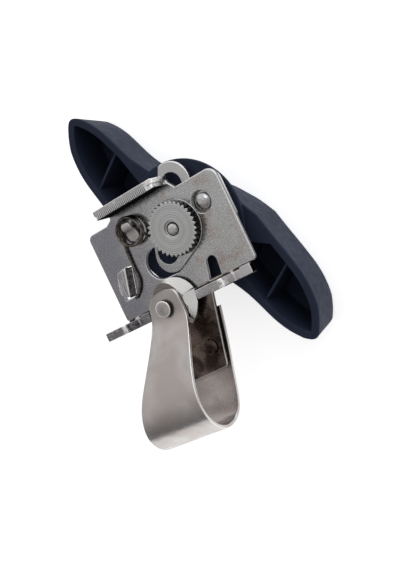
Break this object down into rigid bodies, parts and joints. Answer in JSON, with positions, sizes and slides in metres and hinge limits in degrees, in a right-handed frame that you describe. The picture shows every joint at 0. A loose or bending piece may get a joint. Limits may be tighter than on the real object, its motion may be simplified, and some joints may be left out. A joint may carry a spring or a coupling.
{
  "type": "manual can opener",
  "caption": "Hand can opener with a punched steel plate, a spring-loaded strap lever carrying the knife, a toothed feed wheel and a black wing key.",
  "frame": {"origin": "bottom centre of the bounding box, with the opener lying on the flat back of its wing key", "axes": "+X along the plate towards its plain end, +Y up the plate away from the strap, +Z out of the plate's front, along the feed wheel's axis"},
  "size_m": [0.0654, 0.1104, 0.0408],
  "materials": {
    "plated_steel": "satin zinc plate, tumbled",
    "nickel_plate": "smooth nickel plate with a soft mirror shine",
    "blade_steel": "ground hardened steel",
    "wheel_steel": "turned steel with a greenish grey zinc plate",
    "spring_steel": "oiled spring wire",
    "navy_plastic": "satin navy-black moulded plastic"
  },
  "bodies": {
    "frame": {"main_plate": "plated_steel", "bearing_plate": "plated_steel", "shaft_bush": "wheel_steel", "spring_post": "nickel_plate", "torsion_spring": "spring_steel", "pivot_rivet": "plated_steel"},
    "lever_arm": {"lever": "nickel_plate", "strap_handle": "nickel_plate", "knife": "blade_steel", "knife_rivet": "nickel_plate", "lever_rivet": "nickel_plate"},
    "key": {"feed_wheel": "wheel_steel", "drive_shaft": "wheel_steel", "thrust_washer": "nickel_plate", "spring_washer": "spring_steel", "wing_key": "navy_plastic", "key_nut": "wheel_steel", "key_cap": "navy_plastic"}
  },
  "joints": [
    {"name": "lever_swing", "type": "hinge", "parent": "frame", "child": "lever_arm", "pos_m": [0.01604, 0.01043, 0.0205], "axis": [0, 0, -1], "range_deg": [-3, 8], "stiffness_Nm_per_rad": 0.3, "deforming": ["torsion_spring"]},
    {"name": "key_turn", "type": "hinge", "parent": "frame", "child": "key", "pos_m": [0.00424, 0.00723, 0.02], "axis": [0, 0, 1], "continuous": true}
  ]
}
